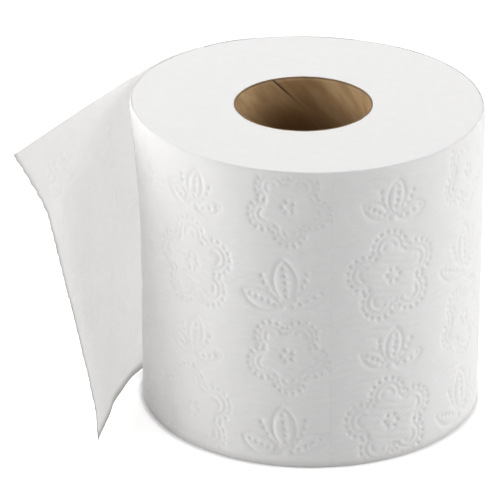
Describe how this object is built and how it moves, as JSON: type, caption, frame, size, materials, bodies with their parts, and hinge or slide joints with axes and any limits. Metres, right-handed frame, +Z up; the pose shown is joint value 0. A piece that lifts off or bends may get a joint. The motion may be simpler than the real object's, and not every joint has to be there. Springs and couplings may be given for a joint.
{
  "type": "toilet paper roll",
  "caption": "Roll of soft white embossed tissue wound on a cardboard core, standing on its end with its last sheet hanging loose at one side.",
  "frame": {"origin": "on the core's axis, in the plane of the lower end that the roll stands on", "axes": "+Z up along the core's axis; the loose sheet leaves the roll at -X and reaches towards -Y"},
  "size_m": [0.1472, 0.1108, 0.102],
  "materials": {
    "core_board": "matte, spirally wound kraft board",
    "tissue": "soft matte white, lightly embossed"
  },
  "bodies": {
    "root": {"core_tube": "core_board", "tissue_roll": "tissue"}
  },
  "joints": []
}
